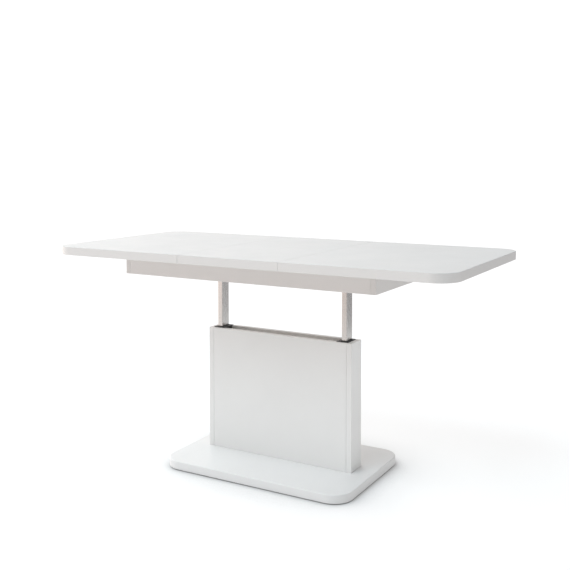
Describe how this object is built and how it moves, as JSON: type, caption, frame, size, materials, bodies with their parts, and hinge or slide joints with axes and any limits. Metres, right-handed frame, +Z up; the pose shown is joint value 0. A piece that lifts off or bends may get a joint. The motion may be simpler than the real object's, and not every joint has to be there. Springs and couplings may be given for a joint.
{
  "type": "extendable dining table",
  "caption": "White rectangular table on a telescopic column and rounded base; the top parts at two seams round a lift-out middle leaf.",
  "frame": {"origin": "on the floor under the middle of the base", "axes": "+X along the top's length, -Y the front long side, +Z up"},
  "size_m": [1.45, 0.686, 0.75],
  "materials": {
    "white_board": "satin foil on board, softly rounded edges",
    "post_steel": "brushed steel tube",
    "black_plastic": "moulded",
    "zinc_steel": "zinc-plated sheet",
    "dark_steel": "black powder coat",
    "rail_aluminium": "mill-finish extrusion",
    "slider_plastic": "acetal",
    "felt": "pressed felt",
    "block_wood": "beech, raw",
    "thin_panel": "thin hardboard, painted",
    "bright_steel": "ground and plated",
    "glide_plastic": "hard plastic glide",
    "fastener_steel": "zinc-plated",
    "spring_steel": "oiled spring wire"
  },
  "bodies": {
    "base_assembly": {"base_plate": "white_board", "ballast_plate": "dark_steel", "base_glides": "glide_plastic", "anchor_bolts": "fastener_steel", "guide_frame": "dark_steel", "column_left_panel": "white_board", "column_right_panel": "white_board", "column_front_panel": "white_board", "column_back_panel": "white_board", "column_battens": "block_wood", "left_guide_cap": "black_plastic", "right_guide_cap": "black_plastic", "left_gas_cylinder": "dark_steel", "right_gas_cylinder": "dark_steel"},
    "right_leaf_assembly": {"right_leaf": "white_board", "right_leaf_back_runner": "slider_plastic", "right_leaf_front_runner": "slider_plastic", "right_leaf_screws": "fastener_steel"},
    "left_leaf_assembly": {"left_leaf": "white_board", "left_leaf_back_runner": "slider_plastic", "left_leaf_front_runner": "slider_plastic", "left_leaf_screws": "fastener_steel"},
    "insert_assembly": {"insert_leaf": "white_board", "insert_pads": "felt", "insert_locators": "slider_plastic"},
    "back_sync_pinion": {"back_pinion": "slider_plastic"},
    "front_sync_pinion": {"front_pinion": "slider_plastic"},
    "release_lever_assembly": {"release_shaft": "bright_steel", "release_fingers": "fastener_steel", "lever_arm": "dark_steel", "lever_grip": "black_plastic"},
    "left_valve_pin": {"left_release_pin": "bright_steel"},
    "right_valve_pin": {"right_release_pin": "bright_steel"},
    "lifting_frame": {"apron_back_board": "white_board", "apron_bottom_panel": "thin_panel", "apron_corner_blocks": "block_wood", "apron_front_board": "white_board", "apron_left_board": "white_board", "apron_right_board": "white_board", "back_rail": "rail_aluminium", "channel_tab_screws": "fastener_steel", "flange_bolts": "fastener_steel", "front_rail": "rail_aluminium", "gas_rod_nuts": "fastener_steel", "left_cross_channel": "zinc_steel", "left_gas_rod": "bright_steel", "left_post": "post_steel", "left_post_shoe": "slider_plastic", "lever_return_spring": "spring_steel", "pinion_axles": "fastener_steel", "rail_bolts": "fastener_steel", "right_cross_channel": "zinc_steel", "right_gas_rod": "bright_steel", "right_post": "post_steel", "right_post_shoe": "slider_plastic", "shaft_bushes": "slider_plastic"}
  },
  "joints": [
    {"name": "height_lift", "type": "slide", "parent": "base_assembly", "child": "lifting_frame", "axis": [0, 0, 1], "range_m": [-0.2, 0]},
    {"name": "right_leaf_slide", "type": "slide", "parent": "lifting_frame", "child": "right_leaf_assembly", "axis": [1, 0, 0], "range_m": [0, 0.014]},
    {"name": "left_leaf_slide", "type": "slide", "parent": "lifting_frame", "child": "left_leaf_assembly", "axis": [-1, 0, 0], "range_m": [0, 0.014]},
    {"name": "back_pinion_spin", "type": "hinge", "parent": "lifting_frame", "child": "back_sync_pinion", "pos_m": [0, 0.223, 0.711], "axis": [0, 0, 1], "range_deg": [-108, 0]},
    {"name": "front_pinion_spin", "type": "hinge", "parent": "lifting_frame", "child": "front_sync_pinion", "pos_m": [0, -0.223, 0.711], "axis": [0, 0, 1], "range_deg": [-108, 0]},
    {"name": "insert_lift_out", "type": "slide", "parent": "lifting_frame", "child": "insert_assembly", "axis": [0, 0, 1], "range_m": [0, 0.25]},
    {"name": "release_lever_tilt", "type": "hinge", "parent": "lifting_frame", "child": "release_lever_assembly", "pos_m": [0.3, 0.02, 0.681], "axis": [1, 0, 0], "range_deg": [0, 6.5], "stiffness_Nm_per_rad": 6, "springref_deg": -14.32},
    {"name": "left_valve_pin_press", "type": "slide", "parent": "lifting_frame", "child": "left_valve_pin", "axis": [0, 0, -1], "range_m": [0, 0.0025]},
    {"name": "right_valve_pin_press", "type": "slide", "parent": "lifting_frame", "child": "right_valve_pin", "axis": [0, 0, -1], "range_m": [0, 0.0025]}
  ],
  "couplings": [
    {"joint": "left_leaf_slide", "follows": "right_leaf_slide", "ratio": 1},
    {"joint": "back_pinion_spin", "follows": "right_leaf_slide", "rad_per_m": -133.33},
    {"joint": "front_pinion_spin", "follows": "right_leaf_slide", "rad_per_m": -133.33},
    {"joint": "left_valve_pin_press", "follows": "release_lever_tilt", "m_per_rad": 0.02},
    {"joint": "right_valve_pin_press", "follows": "release_lever_tilt", "m_per_rad": 0.02}
  ]
}
